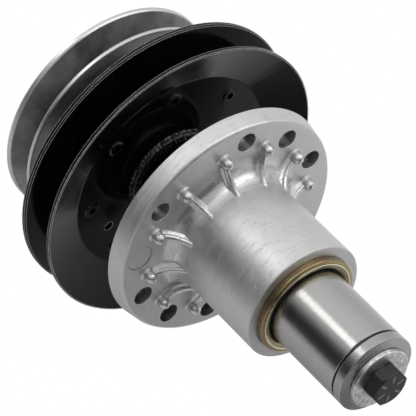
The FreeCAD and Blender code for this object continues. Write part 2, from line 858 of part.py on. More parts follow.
def make_key(side):
    """The square key between the shaft and a pulley's hub."""
    key = doc.addObject("Part::Box", side + "_pulley_key")
    key.Label = side + "_pulley_key"
    key.setExpression("Length", bound("key_height"))
    key.setExpression("Width", bound("key_width"))
    key.setExpression("Height", bound("key_length"))
    key.setExpression("Placement.Base.x", bound("bearing_bore_radius - key_height / 2"))
    key.setExpression("Placement.Base.y", bound("-key_width / 2"))
    key.setExpression("Placement.Base.z", bound(side + "_pulley_station - key_length / 2"))
    keep(key)


def make_pulley(side, start, end, drained):
    """One belt pulley: hub, two pressed discs, welds, rivets and key."""
    outer = side + "_hub_radius"
    hub = new_body(side + "_pulley_hub")
    turn_about_shaft(hub, [
        ("bearing_bore_radius + shaft_fit", start),
        (outer + " - hub_break", start),
        (outer, start + " + hub_break"),
        (outer, end + " - hub_break"),
        (outer + " - hub_break", end),
        ("bearing_bore_radius + shaft_fit", end),
    ])
    cut_through(hub, keyway_sketch)
    keep(hub)
    for name, flipped in (("upper", False), ("lower", True)):
        make_disc(side, name, flipped, drained)
        make_weld(side, name, flipped)
    make_rivets(side)
    make_key(side)


def write_out():
    """Checks every object and writes each piece to its own file."""
    doc.recompute()
    for item in doc.Objects:
        if "Invalid" in item.State or "Error" in item.State:
            raise RuntimeError("%s: %s" % (item.Label, item.State))
    os.makedirs("parts", exist_ok=True)
    for piece in pieces:
        shape = piece.Shape
        if shape.isNull() or not shape.isValid() or not shape.Solids:
            raise RuntimeError(piece.Label + ": no sound shape")
        shape.exportStep("parts/%s.step" % piece.Label)
        print(piece.Label, len(shape.Solids), round(shape.Volume, 1))


make_housing()
make_bearing("upper", UPPER_CONE, False)
make_bearing("lower", "-" + LOWER_CONE, True)
make_seal("upper", "pilot_height", False)
make_seal("lower", "-barrel_depth", True)
make_shaft()
make_clamped_pieces()
make_fasteners()
make_pulley("lower", LOWER_HUB_START, LOWER_HUB_END, True)
make_pulley("upper", UPPER_HUB_START, UPPER_HUB_END, False)
write_out()
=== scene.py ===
"""Looks, small detail and a plain studio for the mower deck spindle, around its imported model."""
import logging
import math
from dataclasses import dataclass
from enum import Enum

import bmesh
import bpy
from mathutils import Matrix, Vector, noise


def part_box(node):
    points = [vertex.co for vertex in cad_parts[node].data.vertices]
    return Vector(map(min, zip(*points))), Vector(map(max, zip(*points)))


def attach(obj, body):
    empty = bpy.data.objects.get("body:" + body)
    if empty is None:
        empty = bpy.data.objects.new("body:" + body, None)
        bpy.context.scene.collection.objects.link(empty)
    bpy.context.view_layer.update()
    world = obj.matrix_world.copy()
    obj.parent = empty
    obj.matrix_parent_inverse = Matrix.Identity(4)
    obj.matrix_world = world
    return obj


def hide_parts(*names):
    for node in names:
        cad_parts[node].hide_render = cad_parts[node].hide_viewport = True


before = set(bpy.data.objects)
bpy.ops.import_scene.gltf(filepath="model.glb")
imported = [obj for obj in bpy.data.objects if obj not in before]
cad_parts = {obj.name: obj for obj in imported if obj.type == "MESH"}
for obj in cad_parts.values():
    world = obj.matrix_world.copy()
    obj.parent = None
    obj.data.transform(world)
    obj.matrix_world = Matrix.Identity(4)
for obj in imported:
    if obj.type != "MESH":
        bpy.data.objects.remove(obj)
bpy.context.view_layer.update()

LOG = logging.getLogger("deck_spindle")

Colour = tuple[float, float, float]
MM_PER_M = 1000

# Noise scales, in cells per metre
CAST_GRAIN, CAST_WAVES, CAST_PEBBLE, CAST_DENTS = 2600.0, 110.0, 560.0, 330.0
RAGGED_RIM = 450.0
PAINT_WAVES = 240.0
ZINC_CLOUDS = 90.0

# Where a noise, a distance or an angle's cosine begins to count, and where it counts in full
CLOUDS = (0.3, 0.7)
EDGE_LEAN = (0.995, 0.93)
EDGE_CHIPS = (0.25, 0.5)
DENT_DEPTHS = (0.30, 0.22)
SPECK_SPREAD = (0.28, 0.12)
SPECK_PATCHES = (0.72, 0.75)
SCRATCH_WIDTH = (0.016, 0.004)
SCRATCH_PATCHES = 0.62
SPOT_LINE_CORE = 0.4

# How the two sets of scratches lie, how long they are for their width, and how fine their patches are
SCRATCH_TURNS = ((0.5, 0.3, 0.9), (-0.7, 0.6, -0.4))
SCRATCH_STRETCH = (1.0, 1.0, 14.0)
SCRATCH_PATCH_SCALE = 1.7

# Where painted shade darkens sheltered places: at the feet of ribs, in the bolt holes on their circle, and in the
# seal's gap
FOOT_SHADE = {"reach": 0.0022, "open": 0.5, "shut": 0.1, "amount": 0.5}
HOLE_SHADE = {"reach": 0.012, "open": 0.62, "shut": 0.3}
HOLE_CIRCLE = {"inner": 0.0487, "outer": 0.0620, "level": 0.002}
SEAL_GAP_SHADOW = {"reach": 0.0009, "open": 0.75, "shut": 0.5, "amount": 0.95}


class Body(Enum):
    """The rigid bodies that pieces ride on."""

    HOUSING = "housing"
    SPINDLE = "spindle"


def grey(level: float) -> Colour:
    """A neutral colour."""
    return level, level, level


# Shader node groups

class Effect:
    """A shader node group under construction, with named inputs and outputs."""

    def __init__(self, name: str, inputs: dict[str, float], outputs: dict[str, str]) -> None:
        """Makes the empty group.

        Args:
            name: the group's name.
            inputs: each input's name and default number.
            outputs: each output's name and socket type.
        """
        self.tree = bpy.data.node_groups.new(name, "ShaderNodeTree")
        for label, value in inputs.items():
            socket = self.tree.interface.new_socket(label, in_out="INPUT", socket_type="NodeSocketFloat")
            socket.default_value = value
        for label, kind in outputs.items():
            self.tree.interface.new_socket(label, in_out="OUTPUT", socket_type=kind)
        self.start = self.tree.nodes.new("NodeGroupInput")
        self.end = self.tree.nodes.new("NodeGroupOutput")
        self.wire = Wiring(self.tree)

    def give(self, label: str, source: bpy.types.NodeSocket) -> None:
        """Sends a socket to one of the group's outputs."""
        self.tree.links.new(source, self.end.inputs[label])

    def take(self, label: str) -> bpy.types.NodeSocket:
        """One of the group's inputs, as a socket to read."""
        return self.start.outputs[label]


class Wiring:
    """Short ways to add the nodes that the finishes need to a tree."""

    def __init__(self, tree: bpy.types.NodeTree) -> None:
        """Keeps the tree that nodes go into."""
        self.tree = tree

    def add(self, kind: str, **settings: object) -> bpy.types.Node:
        """Adds a node and sets its own properties.

        Args:
            kind: the node's type.
            settings: property names and values.

        Returns:
            The new node.
        """
        node = self.tree.nodes.new(kind)
        for key, value in settings.items():
            setattr(node, key, value)
        return node

    def feed(self, node: bpy.types.Node, slot: str | int, value: object) -> None:
        """Sets an input to a number or colour, or links a socket to it.

        Args:
            node: the node to set.
            slot: the input's name or place.
            value: what it gets.
        """
        if isinstance(value, bpy.types.NodeSocket):
            self.tree.links.new(value, node.inputs[slot])
        else:
            node.inputs[slot].default_value = value

    def maths(self, operation: str, *values: object, clamp: bool = False) -> bpy.types.NodeSocket:
        """A Math node.

        Args:
            operation: the node's operation.
            values: its inputs in order, numbers or sockets.
            clamp: keeps the answer between 0 and 1.

        Returns:
            The answer's socket.
        """
        node = self.add("ShaderNodeMath", operation=operation, use_clamp=clamp)
        for spot, value in enumerate(values):
            self.feed(node, spot, value)
        return node.outputs[0]

    def place(self) -> bpy.types.NodeSocket:
        """The point on the surface in the object's own frame, in metres."""
        return self.add("ShaderNodeTexCoord").outputs["Object"]

    def axes(self) -> list[bpy.types.NodeSocket]:
        """The same point's distances along X, Y and Z.

        Returns:
            The three sockets, in metres.
        """
        split = self.add("ShaderNodeSeparateXYZ")
        self.feed(split, 0, self.place())
        return list(split.outputs)

    def radius(self) -> bpy.types.NodeSocket:
        """The distance from the shaft's axis, in metres."""
        x, y, _ = self.axes()
        return self.maths("SQRT", self.maths("ADD", self.maths("POWER", x, 2.0), self.maths("POWER", y, 2.0)))

    def vectors(self, operation: str, first: object, second: object) -> bpy.types.Node:
        """A Vector Math node with two inputs.

        Args:
            operation: the node's operation.
            first: its first input.
            second: its second input.

        Returns:
            The node.
        """
        node = self.add("ShaderNodeVectorMath", operation=operation)
        self.feed(node, 0, first)
        self.feed(node, 1, second)
        return node

    def noise(self, scale: object, detail: float = 3.0, roughness: float = 0.55,
              place: object = None) -> bpy.types.NodeSocket:
        """A Noise Texture's value.

        Args:
            scale: cells per metre, a number or a socket.
            detail: octaves.
            roughness: how strong the fine octaves are.
            place: the texture's coordinate, or None for the point on the surface.

        Returns:
            The value's socket.
        """
        node = self.add("ShaderNodeTexNoise")
        self.feed(node, "Vector", self.place() if place is None else place)
        self.feed(node, "Scale", scale)
        self.feed(node, "Detail", detail)
        self.feed(node, "Roughness", roughness)
        return node.outputs["Fac"]

    def spread(self, value: object, low: object, high: object, first: object = 0.0,
               last: object = 1.0) -> bpy.types.NodeSocket:
        """A Map Range node that takes low..high to first..last, clamped.

        Args:
            value: what is mapped.
            low: where it begins.
            high: where it ends.
            first: the answer at low.
            last: the answer at high.

        Returns:
            The answer's socket.
        """
        node = self.add("ShaderNodeMapRange")
        parts = {"Value": value, "From Min": low, "From Max": high, "To Min": first, "To Max": last}
        for slot, part in parts.items():
            self.feed(node, slot, part)
        return node.outputs[0]

    def blend(self, mask: object, first: object, second: object) -> bpy.types.NodeSocket:
        """A colour mix from first to second by a mask.

        Args:
            mask: 0 for the first colour and 1 for the second.
            first: a colour or a socket.
            second: a colour or a socket.

        Returns:
            The mixed colour's socket.
        """
        node = self.add("ShaderNodeMix", data_type="RGBA")
        self.feed(node, 0, mask)
        for slot, value in ((6, first), (7, second)):
            self.feed(node, slot, value if isinstance(value, bpy.types.NodeSocket) else (*value, 1.0))
        return node.outputs[2]

    def ramp(self, value: object, stops: list[tuple[float, Colour]]) -> bpy.types.NodeSocket:
        """A Color Ramp through the given stops.

        Args:
            value: the place on the ramp.
            stops: each stop's place and colour.

        Returns:
            The colour's socket.
        """
        node = self.add("ShaderNodeValToRGB")
        self.feed(node, 0, value)
        band = node.color_ramp.elements
        while len(band) < len(stops):
            band.new(0.5)
        for element, (spot, colour) in zip(band, stops):
            element.position = spot
            element.color = (*colour, 1.0)
        return node.outputs[0]

    def effect(self, tree: bpy.types.NodeTree, **values: float) -> bpy.types.Node:
        """Places a node group with its own input values.

        Args:
            tree: the group.
            values: its inputs by name, with _ for a space.

        Returns:
            The group's node.
        """
        node = self.add("ShaderNodeGroup")
        node.node_tree = tree
        for key, value in values.items():
            self.feed(node, key.replace("_", " ").title(), value)
        return node


def make_mottle() -> bpy.types.NodeTree:
    """Soft cloudy variation between two values, for roughness and tone.

    Returns:
        The group's tree.
    """
    effect = Effect("mottle", {"Scale": 60.0, "Low": 0.3, "High": 0.5}, {"Value": "NodeSocketFloat"})
    wire = effect.wire
    cloud = wire.noise(effect.take("Scale"), detail=4.0, roughness=0.6)
    effect.give("Value", wire.spread(cloud, *CLOUDS, effect.take("Low"), effect.take("High")))
    return effect.tree


def make_edge_wear_and_highlight() -> bpy.types.NodeTree:
    """A mask that is 1 along convex and concave edges, broken up by noise, for worn edges and painted edge highlights,
    and a softened normal.

    Returns:
        The group's tree.
    """
    effect = Effect("edge_wear_and_highlight", {"Width": 0.0006, "Breakup": 900.0, "Amount": 1.0},
                    {"Mask": "NodeSocketFloat", "Normal": "NodeSocketVector"})
    wire = effect.wire
    bevel = wire.add("ShaderNodeBevel", samples=6)
    wire.feed(bevel, "Radius", effect.take("Width"))
    flat = wire.add("ShaderNodeNewGeometry").outputs["Normal"]
    lean = wire.vectors("DOT_PRODUCT", bevel.outputs[0], flat)
    edge = wire.spread(lean.outputs["Value"], *EDGE_LEAN)
    chips = wire.spread(wire.noise(effect.take("Breakup"), detail=3.0, roughness=0.7), *EDGE_CHIPS)
    worn_and_lit = wire.maths("MULTIPLY", edge, chips)
    effect.give("Mask", wire.maths("MULTIPLY", worn_and_lit, effect.take("Amount"), clamp=True))
    effect.give("Normal", bevel.outputs[0])
    return effect.tree


def make_cast_skin() -> bpy.types.NodeTree:
    """The height of a die-cast skin: fine grain, pebbling, slow waves and sparse dents.

    Returns:
        The group's tree.
    """
    effect = Effect("cast_skin", {"Grain": 0.35, "Waves": 0.3, "Pebble": 0.8, "Dents": 1.0},
                    {"Height": "NodeSocketFloat"})
    wire = effect.wire
    grain = wire.maths("MULTIPLY", wire.noise(CAST_GRAIN, detail=3.0, roughness=0.7), effect.take("Grain"))
    waves = wire.maths("MULTIPLY", wire.noise(CAST_WAVES, detail=2.0, roughness=0.5), effect.take("Waves"))
    dents = wire.spread(wire.noise(CAST_DENTS, detail=2.0, roughness=0.5), *DENT_DEPTHS)
    sunk = wire.maths("MULTIPLY", dents, effect.take("Dents"))
    pebble = wire.maths("MULTIPLY", wire.noise(CAST_PEBBLE, detail=3.0, roughness=0.6), effect.take("Pebble"))
    raised = wire.maths("ADD", wire.maths("ADD", grain, waves), pebble)
    effect.give("Height", wire.maths("SUBTRACT", raised, sunk))
    return effect.tree


def make_turned_marks() -> bpy.types.NodeTree:
    """The height and tone of lathe marks: fine rings round the shaft's axis over slow waves.

    Returns:
        The group's tree.
    """
    effect = Effect("turned_marks", {"Pitch": 9000.0, "Streaks": 900.0, "Rings": 0.03, "Waves": 380.0},
                    {"Height": "NodeSocketFloat", "Tone": "NodeSocketFloat"})
    wire = effect.wire
    along = wire.maths("ADD", wire.radius(), wire.axes()[2])
    for label, scale in (("Height", effect.take("Pitch")), ("Tone", effect.take("Streaks"))):
        lines = wire.add("ShaderNodeTexNoise", noise_dimensions="1D")
        wire.feed(lines, "W", along)
        wire.feed(lines, "Scale", scale)
        wire.feed(lines, "Detail", 3.0)
        found = lines.outputs["Fac"]
        if label == "Height":
            waves = wire.noise(effect.take("Waves"), detail=3.0, roughness=0.6)
            found = wire.maths("MULTIPLY_ADD", found, effect.take("Rings"), waves)
        effect.give(label, found)
    return effect.tree


def make_specks() -> bpy.types.NodeTree:
    """A mask of small sparse specks, such as dust, chips or bright flecks.

    Returns:
        The group's tree.
    """
    effect = Effect("specks", {"Scale": 500.0, "Share": 0.1}, {"Mask": "NodeSocketFloat"})
    wire = effect.wire
    cells = wire.add("ShaderNodeTexVoronoi")
    wire.feed(cells, "Vector", wire.place())
    wire.feed(cells, "Scale", effect.take("Scale"))
    near = wire.spread(cells.outputs["Distance"], *SPECK_SPREAD)
    patches = wire.noise(effect.take("Scale"), detail=1.0, roughness=0.5)
    first, full = SPECK_PATCHES
    rare = wire.spread(patches, wire.maths("SUBTRACT", first, effect.take("Share")), full)
    effect.give("Mask", wire.maths("MULTIPLY", near, rare))
    return effect.tree


def make_scratches() -> bpy.types.NodeTree:
    """A mask of thin stray scratches in two directions, in patches.

    Returns:
        The group's tree.
    """
    effect = Effect("scratches", {"Scale": 40.0, "Share": 0.44}, {"Mask": "NodeSocketFloat"})
    wire = effect.wire
    found = None
    for turn in SCRATCH_TURNS:
        aim = wire.add("ShaderNodeMapping", vector_type="POINT")
        wire.feed(aim, "Vector", wire.place())
        wire.feed(aim, "Rotation", turn)
        wire.feed(aim, "Scale", SCRATCH_STRETCH)
        lines = wire.noise(effect.take("Scale"), detail=2.0, roughness=0.5, place=aim.outputs[0])
        off = wire.maths("ABSOLUTE", wire.maths("SUBTRACT", lines, 0.5))
        thin = wire.spread(off, *SCRATCH_WIDTH)
        finer = wire.maths("MULTIPLY", effect.take("Scale"), SCRATCH_PATCH_SCALE)
        patch = wire.noise(finer, detail=1.0, roughness=0.5, place=aim.outputs[0])
        kept = wire.maths("MULTIPLY", thin, wire.spread(patch, effect.take("Share"), SCRATCH_PATCHES))
        found = kept if found is None else wire.maths("MAXIMUM", found, kept)
    effect.give("Mask", found)
    return effect.tree


def make_rim_band() -> bpy.types.NodeTree:
    """A mask of what lies further from the shaft's axis than a radius, with a ragged edge.

    Returns:
        The group's tree.
    """
    effect = Effect("rim_band", {"Radius": 0.06, "Fade": 0.0006, "Ragged": 0.0006}, {"Mask": "NodeSocketFloat"})
    wire = effect.wire
    stray = wire.maths("SUBTRACT", wire.noise(RAGGED_RIM, detail=3.0, roughness=0.6), 0.5)
    moved = wire.maths("MULTIPLY_ADD", stray, effect.take("Ragged"), wire.radius())
    high = wire.maths("ADD", effect.take("Radius"), effect.take("Fade"))
    effect.give("Mask", wire.spread(moved, effect.take("Radius"), high))
    return effect.tree


def make_ring_zone() -> bpy.types.NodeTree:
    """A mask of the ring between two radii from the shaft's axis and below a level.

    Returns:
        The group's tree.
    """
    inputs = {"Inner": 0.0346, "Outer": 0.0662, "Fade": 0.0012, "Level": -0.0108, "Step": 0.0006}
    effect = Effect("ring_zone", inputs, {"Mask": "NodeSocketFloat"})
    wire = effect.wire
    radius = wire.radius()
    inner, outer, fade, level = (effect.take(label) for label in ("Inner", "Outer", "Fade", "Level"))
    inside = wire.spread(radius, inner, wire.maths("ADD", inner, fade))
    outside = wire.spread(radius, wire.maths("SUBTRACT", outer, fade), outer)
    ring = wire.maths("SUBTRACT", inside, outside, clamp=True)
    below = wire.spread(wire.axes()[2], level, wire.maths("SUBTRACT", level, effect.take("Step")))
    effect.give("Mask", wire.maths("MULTIPLY", ring, below))
    return effect.tree


def make_spot_mark() -> bpy.types.NodeTree:
    """A round mark beside the shaft's axis: its disc and the thin line round it.

    Returns:
        The group's tree.
    """
    effect = Effect("spot_mark", {"Across": -0.0391, "Up": -0.0391, "Radius": 0.0072, "Line Width": 0.0004},
                    {"Disc": "NodeSocketFloat", "Line": "NodeSocketFloat"})
    wire = effect.wire
    centre = wire.add("ShaderNodeCombineXYZ")
    wire.feed(centre, 0, effect.take("Across"))
    wire.feed(centre, 1, effect.take("Up"))
    flat = wire.vectors("MULTIPLY", wire.place(), (1.0, 1.0, 0.0))
    apart = wire.vectors("DISTANCE", flat.outputs[0], centre.outputs[0])
    away = wire.maths("SUBTRACT", apart.outputs["Value"], effect.take("Radius"))
    wide = effect.take("Line Width")
    effect.give("Disc", wire.spread(away, wide, 0.0))
    full = wire.maths("MULTIPLY", wide, SPOT_LINE_CORE)
    effect.give("Line", wire.spread(wire.maths("ABSOLUTE", away), wide, full))
    return effect.tree


def make_grade_dashes() -> bpy.types.NodeTree:
    """A mask of radial dashes round the middle of a bolt's outer face.

    Returns:
        The group's tree.
    """
    inputs = {"Count": 6.0, "Turn": 0.2, "Inner": 0.0040, "Outer": 0.0080, "Half Width": 0.0006, "Face": -0.1422}
    effect = Effect("grade_dashes", inputs, {"Mask": "NodeSocketFloat"})
    wire = effect.wire
    x, y, z = wire.axes()
    angle = wire.maths("ADD", wire.maths("ARCTAN2", y, x), effect.take("Turn"))
    step = wire.maths("DIVIDE", math.tau, effect.take("Count"))
    off = wire.maths("SUBTRACT", wire.maths("FLOORED_MODULO", angle, step), wire.maths("MULTIPLY", step, 0.5))
    radius = wire.radius()
    aside = wire.maths("ABSOLUTE", wire.maths("MULTIPLY", radius, wire.maths("SINE", off)))
    slim = wire.maths("LESS_THAN", aside, effect.take("Half Width"))
    beyond = wire.maths("GREATER_THAN", radius, effect.take("Inner"))
    within = wire.maths("LESS_THAN", radius, effect.take("Outer"))
    outside = wire.maths("LESS_THAN", z, effect.take("Face"))
    ring = wire.maths("MULTIPLY", beyond, within)
    effect.give("Mask", wire.maths("MULTIPLY", wire.maths("MULTIPLY", slim, ring), outside))
    return effect.tree


def make_painted_shade() -> bpy.types.NodeTree:
    """A mask of sheltered places, such as holes and the feet of ribs, found by ambient occlusion, for painted shade.

    Returns:
        The group's tree.
    """
    effect = Effect("painted_shade", {"Reach": 0.012, "Open": 0.6, "Shut": 0.28, "Amount": 0.8}, {"Mask": "NodeSocketFloat"})
    wire = effect.wire
    shelter = wire.add("ShaderNodeAmbientOcclusion", samples=8, only_local=False)
    wire.feed(shelter, "Distance", effect.take("Reach"))
    hidden = wire.spread(shelter.outputs["AO"], effect.take("Open"), effect.take("Shut"))
    effect.give("Mask", wire.maths("MULTIPLY", hidden, effect.take("Amount")))
    return effect.tree


@dataclass(frozen=True)
class Effects:
    """The shared node groups."""

    mottle: bpy.types.NodeTree
    edge_wear_and_highlight: bpy.types.NodeTree
    cast_skin: bpy.types.NodeTree
    turned_marks: bpy.types.NodeTree
    specks: bpy.types.NodeTree
    scratches: bpy.types.NodeTree
    rim_band: bpy.types.NodeTree
    ring_zone: bpy.types.NodeTree
    painted_shade: bpy.types.NodeTree
    grade_dashes: bpy.types.NodeTree
    spot_mark: bpy.types.NodeTree

    @classmethod
    def build(cls) -> "Effects":
        """Builds each group once.

        Returns:
            The groups.
        """
        return cls(make_mottle(), make_edge_wear_and_highlight(), make_cast_skin(), make_turned_marks(), make_specks(),
                   make_scratches(), make_rim_band(), make_ring_zone(), make_painted_shade(), make_grade_dashes(),
                   make_spot_mark())


# Finishes

def principled(name: str) -> tuple[bpy.types.Material, Wiring, bpy.types.Node]:
    """A material, with its wiring and its Principled shader.

    Args:
        name: the material's name.

    Returns:
        The three of them.
    """
    made = bpy.data.materials.new(name)
    made.use_nodes = True
    return made, Wiring(made.node_tree), made.node_tree.nodes["Principled BSDF"]


class Grain(Enum):
    """What the surface's fine relief is."""

    CAST = "cast"
    TURNED = "turned"
    SMOOTH = "smooth"


@dataclass(frozen=True)
class Finish:
    """One finish, how it wears, and its painted shade and painted highlights."""

    name: str
    colour: Colour
    second: Colour
    metallic: float
    rough: tuple[float, float]
    grain: Grain = Grain.SMOOTH
    relief_mm: float = 0.01
    edge_mm: float = 0.5
    edge_wear_and_highlight_colour: Colour | None = None
    edge_amount: float = 0.6
    tone_scale: float = 60.0
    speck_colour: Colour | None = None
    speck_share: float = 0.1
    specular: float = 0.5
    scratch: float = 0.0
    rim_mm: float = 0.0
    rim_colour: Colour | None = None
    polish: float = 0.0
    painted_shade: float = 0.0
    painted_shade_colour: Colour = grey(0.03)
    dashes: float = 0.0
    dash_highlight_colour: Colour = grey(0.22)
    spot: float = 0.0
    spot_colour: Colour = grey(0.15)
    spot_tint: float = 0.5

    def material(self, effects: Effects) -> bpy.types.Material:
        """Builds the finish's material.

        Args:
            effects: the shared node groups.

        Returns:
            The new material.
        """
        made, wire, shader = principled(self.name)
        wire.feed(shader, "Metallic", self.metallic)
        wire.feed(shader, "Specular IOR Level", self.specular)
        wire.feed(shader, "Roughness", self.roughness(wire, effects))
        edge = wire.effect(effects.edge_wear_and_highlight, width=self.edge_mm / MM_PER_M, amount=self.edge_amount)
        colour = self.painted(wire, effects, edge.outputs["Mask"])
        if self.rim_colour:
            bare = wire.effect(effects.rim_band, radius=self.rim_mm / MM_PER_M).outputs[0]
            colour = wire.blend(bare, colour, self.rim_colour)
            wire.feed(shader, "Metallic", wire.maths("MAXIMUM", bare, self.metallic))
        wire.feed(shader, "Base Color", self.marked(wire, effects, colour))
        bump = wire.add("ShaderNodeBump")
        wire.feed(bump, "Distance", self.relief_mm / MM_PER_M)
        wire.feed(bump, "Height", self.relief(wire, effects))
        wire.feed(bump, "Normal", edge.outputs["Normal"])
        wire.feed(shader, "Normal", bump.outputs[0])
        return made

    def roughness(self, wire: Wiring, effects: Effects) -> bpy.types.NodeSocket:
        """The mottled roughness, with the flange's ring polished where the finish says so.

        Args:
            wire: the material's wiring.
            effects: the shared node groups.

        Returns:
            The roughness's socket.
        """
        low, high = self.rough
        rough = wire.effect(effects.mottle, scale=self.tone_scale, low=low, high=high).outputs[0]
        if self.polish:
            zone = wire.effect(effects.ring_zone).outputs[0]
            rough = wire.maths("SUBTRACT", rough, wire.maths("MULTIPLY", zone, self.polish))
        return rough

    def painted(self, wire: Wiring, effects: Effects, edge: bpy.types.NodeSocket) -> bpy.types.NodeSocket:
        """The base colour: two tones, specks, and worn edges with painted edge highlights.

        Args:
            wire: the material's wiring.
            effects: the shared node groups.
            edge: the mask of worn edges and painted edge highlights.

        Returns:
            The colour's socket.
        """
        if self.grain is Grain.TURNED:
            tone = wire.effect(effects.turned_marks).outputs["Tone"]
        else:
            tone = wire.effect(effects.mottle, scale=self.tone_scale, low=0.0, high=1.0).outputs[0]
        colour = wire.blend(tone, self.colour, self.second)
        if self.speck_colour:
            specks = wire.effect(effects.specks, share=self.speck_share)
            colour = wire.blend(specks.outputs[0], colour, self.speck_colour)
        # Lighter edges: wear, and on some finishes a painted highlight
        if self.edge_wear_and_highlight_colour:
            colour = wire.blend(edge, colour, self.edge_wear_and_highlight_colour)
        return colour

    def marked(self, wire: Wiring, effects: Effects, colour: bpy.types.NodeSocket) -> bpy.types.NodeSocket:
        """The colour with painted shade in sheltered places, the bolt's dashes with a painted highlight, and the
        housing's round mark.

        Args:
            wire: the material's wiring.
            effects: the shared node groups.
            colour: the colour of the clean surface.

        Returns:
            The colour's socket.
        """
        # Painted shade: ambient occlusion darkens the rib feet and the bolt holes towards a near-black colour
        if self.painted_shade:
            feet = wire.effect(effects.painted_shade, **FOOT_SHADE).outputs[0]
            holes = wire.effect(effects.painted_shade, **HOLE_SHADE, amount=self.painted_shade).outputs[0]
            circle = wire.effect(effects.ring_zone, **HOLE_CIRCLE).outputs[0]
            sheltered_shade = wire.maths("MAXIMUM", feet, wire.maths("MULTIPLY", holes, circle))
            colour = wire.blend(sheltered_shade, colour, self.painted_shade_colour)
        # The dashes are raised by the bump and lightened by a painted highlight
        if self.dashes:
            colour = wire.blend(wire.effect(effects.grade_dashes).outputs[0], colour, self.dash_highlight_colour)
        if self.spot:
            line = wire.maths("MULTIPLY", wire.effect(effects.spot_mark).outputs["Line"], self.spot_tint)
            colour = wire.blend(line, colour, self.spot_colour)
        return colour

    def relief(self, wire: Wiring, effects: Effects) -> bpy.types.NodeSocket:
        """The height that the bump reads: the grain, less scratches, with the raised marks.

        Args:
            wire: the material's wiring.
            effects: the shared node groups.

        Returns:
            The height's socket.
        """
        height = self.grain_height(wire, effects)
        if self.scratch:
            lines = wire.effect(effects.scratches).outputs[0]
            height = wire.maths("SUBTRACT", height, wire.maths("MULTIPLY", lines, self.scratch))
        if self.dashes:
            marks = wire.effect(effects.grade_dashes).outputs[0]
            height = wire.maths("ADD", height, wire.maths("MULTIPLY", marks, self.dashes))
        if self.spot:
            disc = wire.effect(effects.spot_mark).outputs["Disc"]
            height = wire.maths("ADD", height, wire.maths("MULTIPLY", disc, self.spot))
        return height

    def grain_height(self, wire: Wiring, effects: Effects) -> bpy.types.NodeSocket:
        """The height of the finish's own grain.

        Args:
            wire: the material's wiring.
            effects: the shared node groups.

        Returns:
            The height's socket.
        """
        if self.grain is Grain.CAST:
            return wire.effect(effects.cast_skin).outputs[0]
        if self.grain is Grain.TURNED:
            return wire.effect(effects.turned_marks).outputs["Height"]
        return wire.noise(PAINT_WAVES, detail=2.0, roughness=0.5)


# The housing's lighter edges are partly wear and partly a painted highlight
CAST = Finish("cast_housing", grey(0.60), grey(0.66), metallic=1.0, rough=(0.41, 0.45), grain=Grain.CAST,
              relief_mm=0.03, edge_mm=0.4, edge_wear_and_highlight_colour=grey(0.82), edge_amount=0.4, tone_scale=120.0,
              speck_colour=grey(0.30), speck_share=0.03, scratch=2.0, polish=0.16, painted_shade=0.92, spot=7.0)
GROUND = Finish("sleeve_steel", (0.46, 0.46, 0.45), (0.40, 0.40, 0.392), metallic=1.0, rough=(0.16, 0.25),
                grain=Grain.TURNED, relief_mm=0.045, edge_mm=0.3, edge_wear_and_highlight_colour=grey(0.7))
COLLAR = Finish("collar_steel", grey(0.44), grey(0.33), metallic=1.0, rough=(0.18, 0.30),
                grain=Grain.TURNED, relief_mm=0.08, edge_mm=0.4, edge_wear_and_highlight_colour=grey(0.7))
TURNED = Finish("shaft_steel", grey(0.46), grey(0.40), metallic=1.0, rough=(0.28, 0.38),
                grain=Grain.TURNED, relief_mm=0.03)
BEARING = Finish("bearing_steel", (0.55, 0.55, 0.56), (0.50, 0.50, 0.51), metallic=1.0, rough=(0.12, 0.2))
CAGE = Finish("cage_steel", (0.34, 0.33, 0.31), (0.28, 0.27, 0.25), metallic=1.0, rough=(0.3, 0.45))
ZINC = Finish("washer_zinc", grey(0.92), (0.42, 0.425, 0.43), metallic=1.0, rough=(0.24, 0.45),
              relief_mm=0.08, edge_wear_and_highlight_colour=grey(0.9), tone_scale=420.0)
RUBBER = Finish("seal_rubber", (0.012, 0.011, 0.010), (0.02, 0.018, 0.016), metallic=0.0, rough=(0.5, 0.65))
BOLT = Finish("bolt_black", (0.030, 0.030, 0.032), (0.055, 0.055, 0.057), metallic=0.6, rough=(0.34, 0.48),
              relief_mm=0.03, edge_mm=0.4, edge_wear_and_highlight_colour=grey(0.2), edge_amount=0.5, tone_scale=300.0, dashes=14.0)
# The black pulley's pale edge colour is a painted highlight along its rims
BLACK = Finish("pulley_black", (0.0012, 0.0012, 0.0014), (0.0025, 0.0025, 0.0028), metallic=0.0, rough=(0.08, 0.15),
               relief_mm=0.015, edge_mm=0.6, edge_wear_and_highlight_colour=grey(0.75), edge_amount=1.0, specular=0.17,
               speck_colour=grey(0.05), speck_share=0.02)
# The rivets' edge colour is a painted highlight round their rims
RIVET = Finish("rivet_black", (0.0012, 0.0012, 0.0014), grey(0.004), metallic=0.0, rough=(0.12, 0.25),
               relief_mm=0.02, edge_mm=0.15, edge_wear_and_highlight_colour=grey(0.05), specular=0.3)
WELD = Finish("weld_black", grey(0.004), grey(0.012), metallic=0.0, rough=(0.08, 0.22),
              relief_mm=0.15, edge_mm=0.2, tone_scale=700.0)
WELD_GREY = Finish("weld_grey", (0.12, 0.12, 0.125), (0.2, 0.2, 0.205), metallic=0.4, rough=(0.25, 0.42),
                   relief_mm=0.1, tone_scale=500.0)
GREY = Finish("pulley_grey", (0.115, 0.115, 0.116), (0.44, 0.442, 0.443), metallic=0.7, rough=(0.24, 0.40),
              relief_mm=0.03, edge_mm=0.6, edge_wear_and_highlight_colour=grey(0.5), edge_amount=0.8, tone_scale=38.0,
              speck_colour=grey(0.35), rim_mm=62.4, rim_colour=grey(0.62), scratch=0.4)


